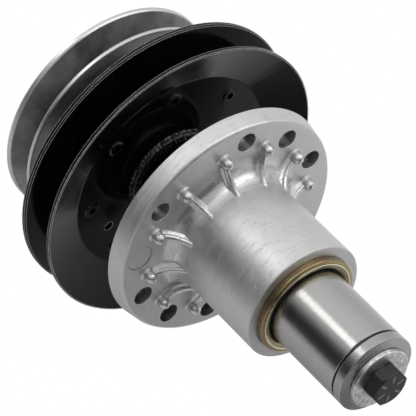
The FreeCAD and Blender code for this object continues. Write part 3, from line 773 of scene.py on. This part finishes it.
@dataclass(frozen=True)
class YellowZinc:
    """Yellow chromate over zinc: brown outside, where painted shade darkens it, a painted highlight pale on the ridge,
    olive inside, and painted shade by the sleeve.

    The tints and painted light go by the radius in millimetres. Each patch gives the noise's span and the strength that
    it leads to.
    """

    name: str = "seal_zinc"
    rough: tuple[float, float] = (0.18, 0.32)
    # Painted light: the near white on the ridge is a painted highlight, and the dark brown outside and by the sleeve is
    # painted shade
    tints_with_painted_light: tuple[tuple[float, Colour], ...] = (
        (23.0, (0.16, 0.14, 0.08)), (24.2, (0.34, 0.28, 0.18)), (25.7, (0.42, 0.35, 0.24)), (26.0, (0.95, 0.92, 0.80)),
        (26.4, (0.90, 0.86, 0.70)), (26.7, (0.42, 0.37, 0.18)), (27.8, (0.38, 0.29, 0.14)), (28.6, (0.24, 0.17, 0.10)),
    )
    rose: Colour = (0.34, 0.20, 0.15)
    rose_patches: tuple[float, float, float, float] = (0.56, 0.70, 0.0, 0.55)
    green: Colour = (0.36, 0.40, 0.22)
    green_patches: tuple[float, float, float, float] = (0.42, 0.30, 0.0, 0.5)
    gap_shadow_colour: Colour = (0.01, 0.008, 0.006)
    tone_scale: float = 200.0
    edge_mm: float = 0.3

    def material(self, effects: Effects) -> bpy.types.Material:
        """Builds the plated finish.

        Args:
            effects: the shared node groups.

        Returns:
            The new material.
        """
        made, wire, shader = principled(self.name)
        wire.feed(shader, "Metallic", 1.0)
        low, high = self.tints_with_painted_light[0][0], self.tints_with_painted_light[-1][0]
        share = wire.spread(wire.radius(), low / MM_PER_M, high / MM_PER_M)
        stops = [((at - low) / (high - low), tint) for at, tint in self.tints_with_painted_light]
        cloud = wire.noise(ZINC_CLOUDS, detail=2.0, roughness=0.5)
        colour = wire.blend(wire.spread(cloud, *self.rose_patches), wire.ramp(share, stops), self.rose)
        colour = wire.blend(wire.spread(cloud, *self.green_patches), colour, self.green)
        # Painted shadow: the seal's narrow gap goes near black
        gap_shadow = wire.effect(effects.painted_shade, **SEAL_GAP_SHADOW)
        wire.feed(shader, "Base Color", wire.blend(gap_shadow.outputs[0], colour, self.gap_shadow_colour))
        rough = wire.effect(effects.mottle, scale=self.tone_scale, low=self.rough[0], high=self.rough[1])
        wire.feed(shader, "Roughness", rough.outputs[0])
        edge = wire.effect(effects.edge_wear_and_highlight, width=self.edge_mm / MM_PER_M)
        wire.feed(shader, "Normal", edge.outputs["Normal"])
        return made


# Which finish each piece of the frame gets
DRESS: dict[str, list[str]] = {
    "cast_housing": ["housing"],
    "sleeve_steel": ["blade_sleeve", "upper_sleeve", "hub_spacer"],
    "collar_steel": ["end_collar"],
    "shaft_steel": ["shaft", "bearing_spacer", "lower_pulley_key", "upper_pulley_key"],
    "bearing_steel": ["upper_cup", "lower_cup", "upper_cone", "lower_cone", "upper_rollers", "lower_rollers"],
    "cage_steel": ["upper_cage", "lower_cage"],
    "washer_zinc": ["bolt_washer", "top_washer", "top_nut"],
    "seal_rubber": ["upper_seal_lip", "lower_seal_lip"],
    "seal_zinc": ["upper_seal_case", "lower_seal_case"],
    "bolt_black": ["blade_bolt"],
    "pulley_black": ["lower_pulley_hub", "lower_pulley_lower_disc", "lower_pulley_upper_disc"],
    "rivet_black": ["lower_pulley_rivets"],
    "pulley_grey": ["upper_pulley_hub", "upper_pulley_lower_disc", "upper_pulley_upper_disc", "upper_pulley_rivets",
                    "upper_pulley_lower_weld", "upper_pulley_upper_weld"],
    "weld_black": ["lower_pulley_lower_weld", "lower_pulley_upper_weld"],
}


class Wardrobe:
    """All the finishes as materials."""

    def __init__(self) -> None:
        """Builds the shared effects and every material."""
        effects = Effects.build()
        finishes = (CAST, GROUND, COLLAR, TURNED, BEARING, CAGE, ZINC, RUBBER, BOLT, BLACK, RIVET, WELD, WELD_GREY,
                    GREY, YellowZinc())
        self.materials = {finish.name: finish.material(effects) for finish in finishes}

    def dress(self, piece: bpy.types.Object, finish: str) -> None:
        """Gives a piece one material."""
        piece.data.materials.clear()
        piece.data.materials.append(self.materials[finish])

    def dress_frame(self) -> None:
        """Gives each node of the frame its finish."""
        for finish, names in DRESS.items():
            for name in names:
                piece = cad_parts[name]
                for slot in piece.material_slots:
                    slot.material = self.materials[finish]
                LOG.info("%s: %s", name, finish)


# Small pieces

def put_in_scene(name: str, data: bpy.types.ID) -> bpy.types.Object:
    """Makes an object of a mesh, lamp or camera and links it to the scene.

    Args:
        name: the object's name.
        data: what the object shows.

    Returns:
        The new object.
    """
    thing = bpy.data.objects.new(name, data)
    bpy.context.scene.collection.objects.link(thing)
    return thing


def skin(mesh: bmesh.types.BMesh, rings: list[list[bmesh.types.BMVert]]) -> None:
    """Joins each ring of points to the next one by faces.

    Args:
        mesh: the mesh that the faces go into.
        rings: the rings, each with as many points.
    """
    for ring, following in zip(rings, rings[1:]):
        for k in range(len(ring)):
            mesh.faces.new((ring[k - 1], ring[k], following[k], following[k - 1]))


@dataclass
class SmallPiece:
    """A closed mesh of the scene's own, and how it joins the model."""

    name: str
    finish: str
    slot: str
    body: Body = Body.SPINDLE

    def shape(self, mesh: bmesh.types.BMesh) -> None:
        """Models the piece into an empty mesh."""
        raise NotImplementedError

    def build(self, wardrobe: Wardrobe) -> bpy.types.Object:
        """Makes the piece, dressed and riding on its body.

        Args:
            wardrobe: the finishes.

        Returns:
            The new object.
        """
        mesh = bmesh.new()
        self.shape(mesh)
        bmesh.ops.recalc_face_normals(mesh, faces=mesh.faces)
        data = bpy.data.meshes.new(self.name)
        mesh.to_mesh(data)
        mesh.free()
        data.polygons.foreach_set("use_smooth", [True] * len(data.polygons))
        piece = put_in_scene(self.name, data)
        wardrobe.dress(piece, self.finish)
        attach(piece, self.body.value)
        LOG.info("%s: %d faces on %s", self.name, len(data.polygons), self.body.value)
        return piece


@dataclass
class WeldBead(SmallPiece):
    """A rough bead of overlapping weld puddles between a disc and its hub.

    Its reach, in shares of the leg, is a mean up to a limit, with puddles, waves, ripples and strands on top.
    """

    node: str = ""
    puddles: int = 74
    seed: float = 0.0
    around: int = 600
    along: int = 14
    tuck: float = 0.0002
    mean: float = 0.83
    limit: float = 0.99
    puddle_rise: float = 0.06
    puddle_slant: float = 0.9
    waves: float = 0.09
    wave_cells: float = 9.0
    ripples: float = 0.08
    ripple_cells: float = 34.0
    strands: float = 0.035

    def build(self, wardrobe: Wardrobe) -> bpy.types.Object:
        """Makes the bead in the place of its node.

        Args:
            wardrobe: the finishes.

        Returns:
            The bead.
        """
        piece = super().build(wardrobe)
        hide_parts(self.node)
        return piece

    def shape(self, mesh: bmesh.types.BMesh) -> None:
        """Models the bead round the hub, on the side of its disc.

        Args:
            mesh: the mesh that the faces go into.
        """
        low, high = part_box(self.node)
        leg = high[2] - low[2]
        inner = high[0] - leg
        disc_below = abs(low[2] - self.middle()) < abs(high[2] - self.middle())
        foot, sense = (low[2], 1.0) if disc_below else (high[2], -1.0)
        rings = []
        for i in range(self.around):
            angle = math.tau * i / self.around
            ring = [mesh.verts.new(self.spot(angle, inner - self.tuck, foot - sense * self.tuck))]
            for j in range(self.along + 1):
                rise = math.pi / 2 * j / self.along
                size = leg * self.swell(angle, j / self.along)
                ring.append(mesh.verts.new(self.spot(angle, inner + size * math.cos(rise),
                                                     foot + sense * size * math.sin(rise))))
            rings.append(ring)
        skin(mesh, rings + rings[:1])

    def middle(self) -> float:
        """The level of the pulley's middle, halfway between its two beads.

        Returns:
            The level, in metres.
        """
        pulley = self.node.rsplit("_", 2)[0]
        levels = [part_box(pulley + end) for end in ("_lower_weld", "_upper_weld")]
        return sum(low[2] + high[2] for low, high in levels) / 4

    def spot(self, angle: float, radius: float, level: float) -> tuple[float, float, float]:
        """A point at a polar place."""
        return radius * math.cos(angle), radius * math.sin(angle), level

    def swell(self, angle: float, share: float) -> float:
        """How far the bead reaches at a place, as a share of its leg.

        Args:
            angle: the place round the hub, in radians.
            share: the place along the section, from 0 to 1.

        Returns:
            The share.
        """
        phase = self.puddles * angle / 2 + self.puddle_slant * math.sin(math.pi * share)
        puddle = abs(math.sin(phase)) ** 0.5
        wave = noise.noise(Vector(self.spot(angle, self.wave_cells, self.seed + 2 * share)))
        ripple = noise.noise(Vector(self.spot(angle, self.ripple_cells, self.seed - 7 * share)))
        strand = math.cos(2 * math.tau * (share - 0.5))
        reach = self.mean + self.puddle_rise * puddle + self.waves * wave + self.ripples * ripple
        return min(self.limit, reach + self.strands * strand)


@dataclass
class SealShield(SmallPiece):
    """The pressed ridge on a shaft seal's face and the thin ring that slopes from it towards the sleeve.

    The section's points are the radius and how far the ring stands out from the case's face.
    """

    case: str = ""
    steps: int = 200
    section: tuple[tuple[float, float], ...] = (
        (0.02665, 0.0), (0.02662, 0.00018), (0.0264, 0.00034), (0.0261, 0.00034), (0.0258, 0.00022), (0.0250, 0.0),
        (0.0234, -0.00035), (0.02325, -0.0005), (0.0236, -0.00065), (0.0246, -0.0004), (0.0250, -0.00008),
    )

    def shape(self, mesh: bmesh.types.BMesh) -> None:
        """Models the ring on the case's outer face.

        Args:
            mesh: the mesh that the faces go into.
        """
        low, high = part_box(self.case)
        face, sense = (low[2], -1.0) if low[2] < 0 else (high[2], 1.0)
        rings = []
        for i in range(self.steps):
            angle = math.tau * i / self.steps
            rings.append([mesh.verts.new((r * math.cos(angle), r * math.sin(angle), face + sense * rise))
                          for r, rise in self.section])
        skin(mesh, rings + rings[:1])


@dataclass
class ThreadCrest(SmallPiece):
    """The helical ridge of the thread that shows above the top nut.

    Its half width is a share of the pitch, and each end rises to the full depth over one part in so many (tapered).
    """

    radius: float = 0.0095
    pitch: float = 0.0016
    depth: float = 0.00035
    tuck: float = 0.0001
    least: float = 0.00001
    half_width: float = 0.42
    flat: float = 0.25
    tapered: int = 12
    steps: int = 96
    chamfer: float = 0.0008

    def shape(self, mesh: bmesh.types.BMesh) -> None:
        """Models the ridge from the nut's face to the shaft's chamfer.

        Args:
            mesh: the mesh that the faces go into.
        """
        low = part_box("top_nut")[1][2]
        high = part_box("shaft")[1][2] - self.chamfer
        half = self.pitch * self.half_width
        turns = (high - low - 2 * half) / self.pitch
        count = max(8, int(turns * self.steps))
        rings = []
        for i in range(count + 1):
            share = i / count
            angle = math.tau * turns * share
            level = low + half + self.pitch * turns * share
            crest = self.depth * min(1.0, self.tapered * share, self.tapered * (1 - share)) + self.least
            section = ((-self.tuck, -half), (crest, -half * self.flat), (crest, half * self.flat), (-self.tuck, half))
            rings.append([mesh.verts.new(((self.radius + out) * math.cos(angle), (self.radius + out) * math.sin(angle),
                                          level + up)) for out, up in section])
        skin(mesh, rings)
        mesh.faces.new(rings[0])
        mesh.faces.new(rings[-1])


SMALL_PIECES: tuple[SmallPiece, ...] = (
    WeldBead("black_bead_below", "weld_black", "pulley_black", node="lower_pulley_lower_weld", seed=3.1),
    WeldBead("black_bead_above", "weld_black", "pulley_black", node="lower_pulley_upper_weld", seed=8.7),
    WeldBead("grey_bead_below", "weld_grey", "pulley_grey", node="upper_pulley_lower_weld", puddles=64, seed=5.2),
    WeldBead("grey_bead_above", "weld_grey", "pulley_grey", node="upper_pulley_upper_weld", puddles=64, seed=1.4),
    SealShield("lower_seal_shield", "seal_zinc", "seal_zinc", Body.HOUSING, case="lower_seal_case"),
    SealShield("upper_seal_shield", "seal_zinc", "seal_zinc", Body.HOUSING, case="upper_seal_case"),
    ThreadCrest("top_thread", "shaft_steel", "shaft_steel"),
)


# Studio

@dataclass(frozen=True)
class Viewpoint:
    """The photograph's camera."""

    azimuth: float = 3.8
    elevation: float = -33.43
    roll: float = -45.25
    distance: float = 1.4393
    aim: tuple[float, float, float] = (0.0002, -0.0028, 0.0042)
    lens: float = 244.8
    sensor: float = 36.0

    def build(self) -> bpy.types.Object:
        """Makes the camera and makes it the scene's own.

        Returns:
            The camera.
        """
        around, up = math.radians(self.azimuth), math.radians(self.elevation)
        ahead = Vector((-math.sin(around) * math.cos(up), math.cos(around) * math.cos(up), -math.sin(up)))
        right = Vector((math.cos(around), math.sin(around), 0.0))
        above = right.cross(ahead)
        turn = math.radians(self.roll)
        side = right * math.cos(turn) + above * math.sin(turn)
        top = above * math.cos(turn) - right * math.sin(turn)
        data = bpy.data.cameras.new("camera")
        data.lens = self.lens
        data.sensor_width = self.sensor
        camera = put_in_scene("camera", data)
        spot = Vector(self.aim) - ahead * self.distance
        camera.matrix_world = Matrix.Translation(spot) @ Matrix((side, top, -ahead)).transposed().to_4x4()
        bpy.context.scene.camera = camera
        return camera


@dataclass(frozen=True)
class Lamp:
    """A soft rectangular lamp, placed by its direction from the part."""

    name: str
    azimuth: float
    elevation: float
    distance: float
    width: float
    height: float
    radiance: float

    def build(self) -> bpy.types.Object:
        """Makes the lamp, facing the part.

        Returns:
            The lamp.
        """
        data = bpy.data.lights.new(self.name, "AREA")
        data.shape = "RECTANGLE"
        data.size = self.width
        data.size_y = self.height
        data.energy = self.radiance * math.pi * self.width * self.height
        lamp = put_in_scene(self.name, data)
        lamp.matrix_world = facing(self.azimuth, self.elevation, self.distance)
        lamp.visible_camera = False
        return lamp


def facing(azimuth: float, elevation: float, distance: float) -> Matrix:
    """A placement whose -Z looks at the part.

    Args:
        azimuth: degrees round the shaft from the -Y side towards +X.
        elevation: degrees above the flange's plane.
        distance: metres from the part.

    Returns:
        The placement.
    """
    around, up = math.radians(azimuth), math.radians(elevation)
    out = Vector((math.sin(around) * math.cos(up), -math.cos(around) * math.cos(up), math.sin(up)))
    turn = out.to_track_quat("Z", "Y").to_matrix().to_4x4()
    return Matrix.Translation(out * distance) @ turn


def flat_sheet(name: str, width: float, height: float) -> bpy.types.Mesh:
    """A rectangle across Z, round its own middle.

    Args:
        name: the mesh's name.
        width: its size along X.
        height: its size along Y.

    Returns:
        The new mesh.
    """
    w, h = width / 2, height / 2
    mesh = bpy.data.meshes.new(name)
    mesh.from_pydata([(-w, -h, 0), (w, -h, 0), (w, h, 0), (-w, h, 0)], [], [(0, 1, 2, 3)])
    return mesh


def glow(name: str) -> tuple[bpy.types.Material, Wiring, bpy.types.Node]:
    """A material that only shines, with its wiring and its shader.

    Args:
        name: the material's name.

    Returns:
        The three of them.
    """
    made = bpy.data.materials.new(name)
    made.use_nodes = True
    made.node_tree.nodes.clear()
    wire = Wiring(made.node_tree)
    shader = wire.add("ShaderNodeEmission")
    end = wire.add("ShaderNodeOutputMaterial")
    wire.feed(end, 0, shader.outputs[0])
    return made, wire, shader


def hide_from_all_but_gloss(thing: bpy.types.Object) -> None:
    """Leaves a piece of the studio to reflections, so that it lights and shades nothing.

    Args:
        thing: the piece.
    """
    thing.visible_camera = False
    thing.visible_diffuse = False
    thing.visible_shadow = False


@dataclass(frozen=True)
class Card:
    """A matt card that only reflections see, with a tone at its left and one at its right."""

    name: str
    azimuth: float
    elevation: float
    distance: float
    width: float
    height: float
    left: float
    right: float
    fade: float = 0.1

    def build(self) -> bpy.types.Object:
        """Makes the card, facing the part.

        Returns:
            The card.
        """
        mesh = flat_sheet(self.name, self.width, self.height)
        made, wire, shader = glow(self.name)
        wire.feed(shader, "Strength", wire.spread(wire.axes()[0], -self.fade, self.fade, self.left, self.right))
        mesh.materials.append(made)
        card = put_in_scene(self.name, mesh)
        card.matrix_world = facing(self.azimuth, self.elevation, self.distance)
        hide_from_all_but_gloss(card)
        return card


@dataclass(frozen=True)
class Surround:
    """The tent round the table as reflections see it: pale cloth with darker panels.

    The upper and lower tones go by degrees round the table, and one gives way to the other between the change's levels.
    """

    radius: float = 2.6
    low: float = -0.99
    high: float = 2.6
    sides: int = 64
    roof: float = 0.85
    upper: tuple[tuple[float, float], ...] = (
        (-180, 0.70), (-166, 0.40), (-140, 0.36), (-110, 0.52), (-84, 0.66), (-69, 0.60), (-56, 0.06), (-40, 0.03),
        (-30, 0.03), (-16, 0.16), (-6, 0.50), (4, 0.72), (30, 0.98), (50, 1.0), (75, 0.92), (98, 0.78), (130, 0.78),
        (150, 0.84), (180, 0.9),
    )
    lower: tuple[tuple[float, float], ...] = (
        (-180, 0.60), (-168, 0.90), (-154, 0.75), (-140, 0.40), (-120, 0.60), (-85, 0.65), (-62, 0.30), (-50, 0.12),
        (-30, 0.12), (-16, 0.5), (10, 1.2), (90, 1.2), (110, 0.9), (150, 0.65), (180, 0.6),
    )
    change: tuple[float, float] = (0.0, 0.9)

    def build(self) -> None:
        """Makes the wall and the roof."""
        wall = bmesh.new()
        spots = [math.tau * i / self.sides for i in range(self.sides)]
        rims = [[wall.verts.new((self.radius * math.cos(a), self.radius * math.sin(a), level)) for a in spots]
                for level in (self.low, self.high)]
        skin(wall, rims)
        wall.faces.new(rims[1]).material_index = 1
        mesh = bpy.data.meshes.new("surround")
        wall.to_mesh(mesh)
        wall.free()
        mesh.materials.append(self.cloth())
        mesh.materials.append(self.roof_cloth())
        hide_from_all_but_gloss(put_in_scene("surround", mesh))

    def cloth(self) -> bpy.types.Material:
        """The wall's tones by the direction round the table.

        Returns:
            The wall's material.
        """
        made, wire, shader = glow("surround_wall")
        x, y, z = wire.axes()
        around = wire.maths("ARCTAN2", x, wire.maths("MULTIPLY", y, -1.0))
        share = wire.maths("MULTIPLY_ADD", around, 1 / math.tau, 0.5)
        bands = []
        for tones in (self.lower, self.upper):
            top = max(tone for _, tone in tones)
            stops = [((angle + 180) / 360, grey(tone / top)) for angle, tone in tones]
            bands.append(wire.maths("MULTIPLY", wire.ramp(share, stops), top))
        below, above = bands
        rise = wire.spread(z, *self.change)
        gain = wire.maths("SUBTRACT", above, below)
        wire.feed(shader, "Strength", wire.maths("MULTIPLY_ADD", gain, rise, below))
        return made

    def roof_cloth(self) -> bpy.types.Material:
        """The roof's even tone.

        Returns:
            The roof's material.
        """
        made, wire, shader = glow("surround_roof")
        wire.feed(shader, "Strength", self.roof)
        return made


@dataclass(frozen=True)
class Studio:
    """A white backdrop, a pale floor, soft lamps and cards."""

    floor_level: float = -1.7
    floor_size: float = 24.0
    floor_shade: float = 0.82
    floor_rough: float = 0.8
    fill: float = 0.62
    backdrop: float = 1.0
    lamps: tuple[Lamp, ...] = (
        Lamp("key", azimuth=16.5, elevation=36.0, distance=1.6, width=0.42, height=1.2, radiance=1.6),
        Lamp("side", azimuth=66.0, elevation=-26.0, distance=1.5, width=1.5, height=0.75, radiance=1.2),
    )
    cards: tuple[Card, ...] = (
        Card("under_card", 180.0, -42.0, 0.32, 0.44, 0.28, left=0.85, right=0.26),
        Card("down_card", 0.0, -90.0, 0.55, 0.5, 0.5, left=0.10, right=0.10),
        Card("back_flag", -177.5, 3.5, 1.05, 0.13, 0.11, left=0.03, right=0.03),
        Card("low_flag", -38.0, -42.0, 1.05, 0.5, 0.85, left=0.10, right=0.10),
    )

    def build(self) -> None:
        """Builds the whole studio."""
        bpy.context.scene.view_settings.view_transform = "Standard"
        self.world()
        self.floor()
        Surround().build()
        for item in (*self.lamps, *self.cards):
            item.build()

    def world(self) -> None:
        """White for what the camera and reflections see, plain fill light for the rest."""
        world = bpy.data.worlds.new("studio")
        bpy.context.scene.world = world
        world.use_nodes = True
        wire = Wiring(world.node_tree)
        path = wire.add("ShaderNodeLightPath")
        seen = path.outputs["Is Camera Ray"]
        for label in ("Is Glossy Ray", "Is Transmission Ray"):
            seen = wire.maths("MAXIMUM", seen, path.outputs[label])
        strength = wire.spread(seen, 0.0, 1.0, self.fill, self.backdrop)
        ground = world.node_tree.nodes["Background"]
        wire.feed(ground, "Color", (*grey(1.0), 1.0))
        wire.feed(ground, "Strength", strength)

    def floor(self) -> None:
        """The pale floor, below the camera."""
        mesh = flat_sheet("floor", self.floor_size, self.floor_size)
        made, wire, shader = principled("floor")
        wire.feed(shader, "Base Color", (*grey(self.floor_shade), 1.0))
        wire.feed(shader, "Roughness", self.floor_rough)
        mesh.materials.append(made)
        floor = put_in_scene("floor", mesh)
        floor.location.z = self.floor_level


def main() -> None:
    """Dresses the frame, adds the small pieces and builds the studio."""
    logging.basicConfig(level=logging.INFO, format="%(name)s: %(message)s")
    wardrobe = Wardrobe()
    wardrobe.dress_frame()
    for piece in SMALL_PIECES:
        piece.build(wardrobe)
    Studio().build()
    Viewpoint().build()


if __name__ == "__main__":
    main()
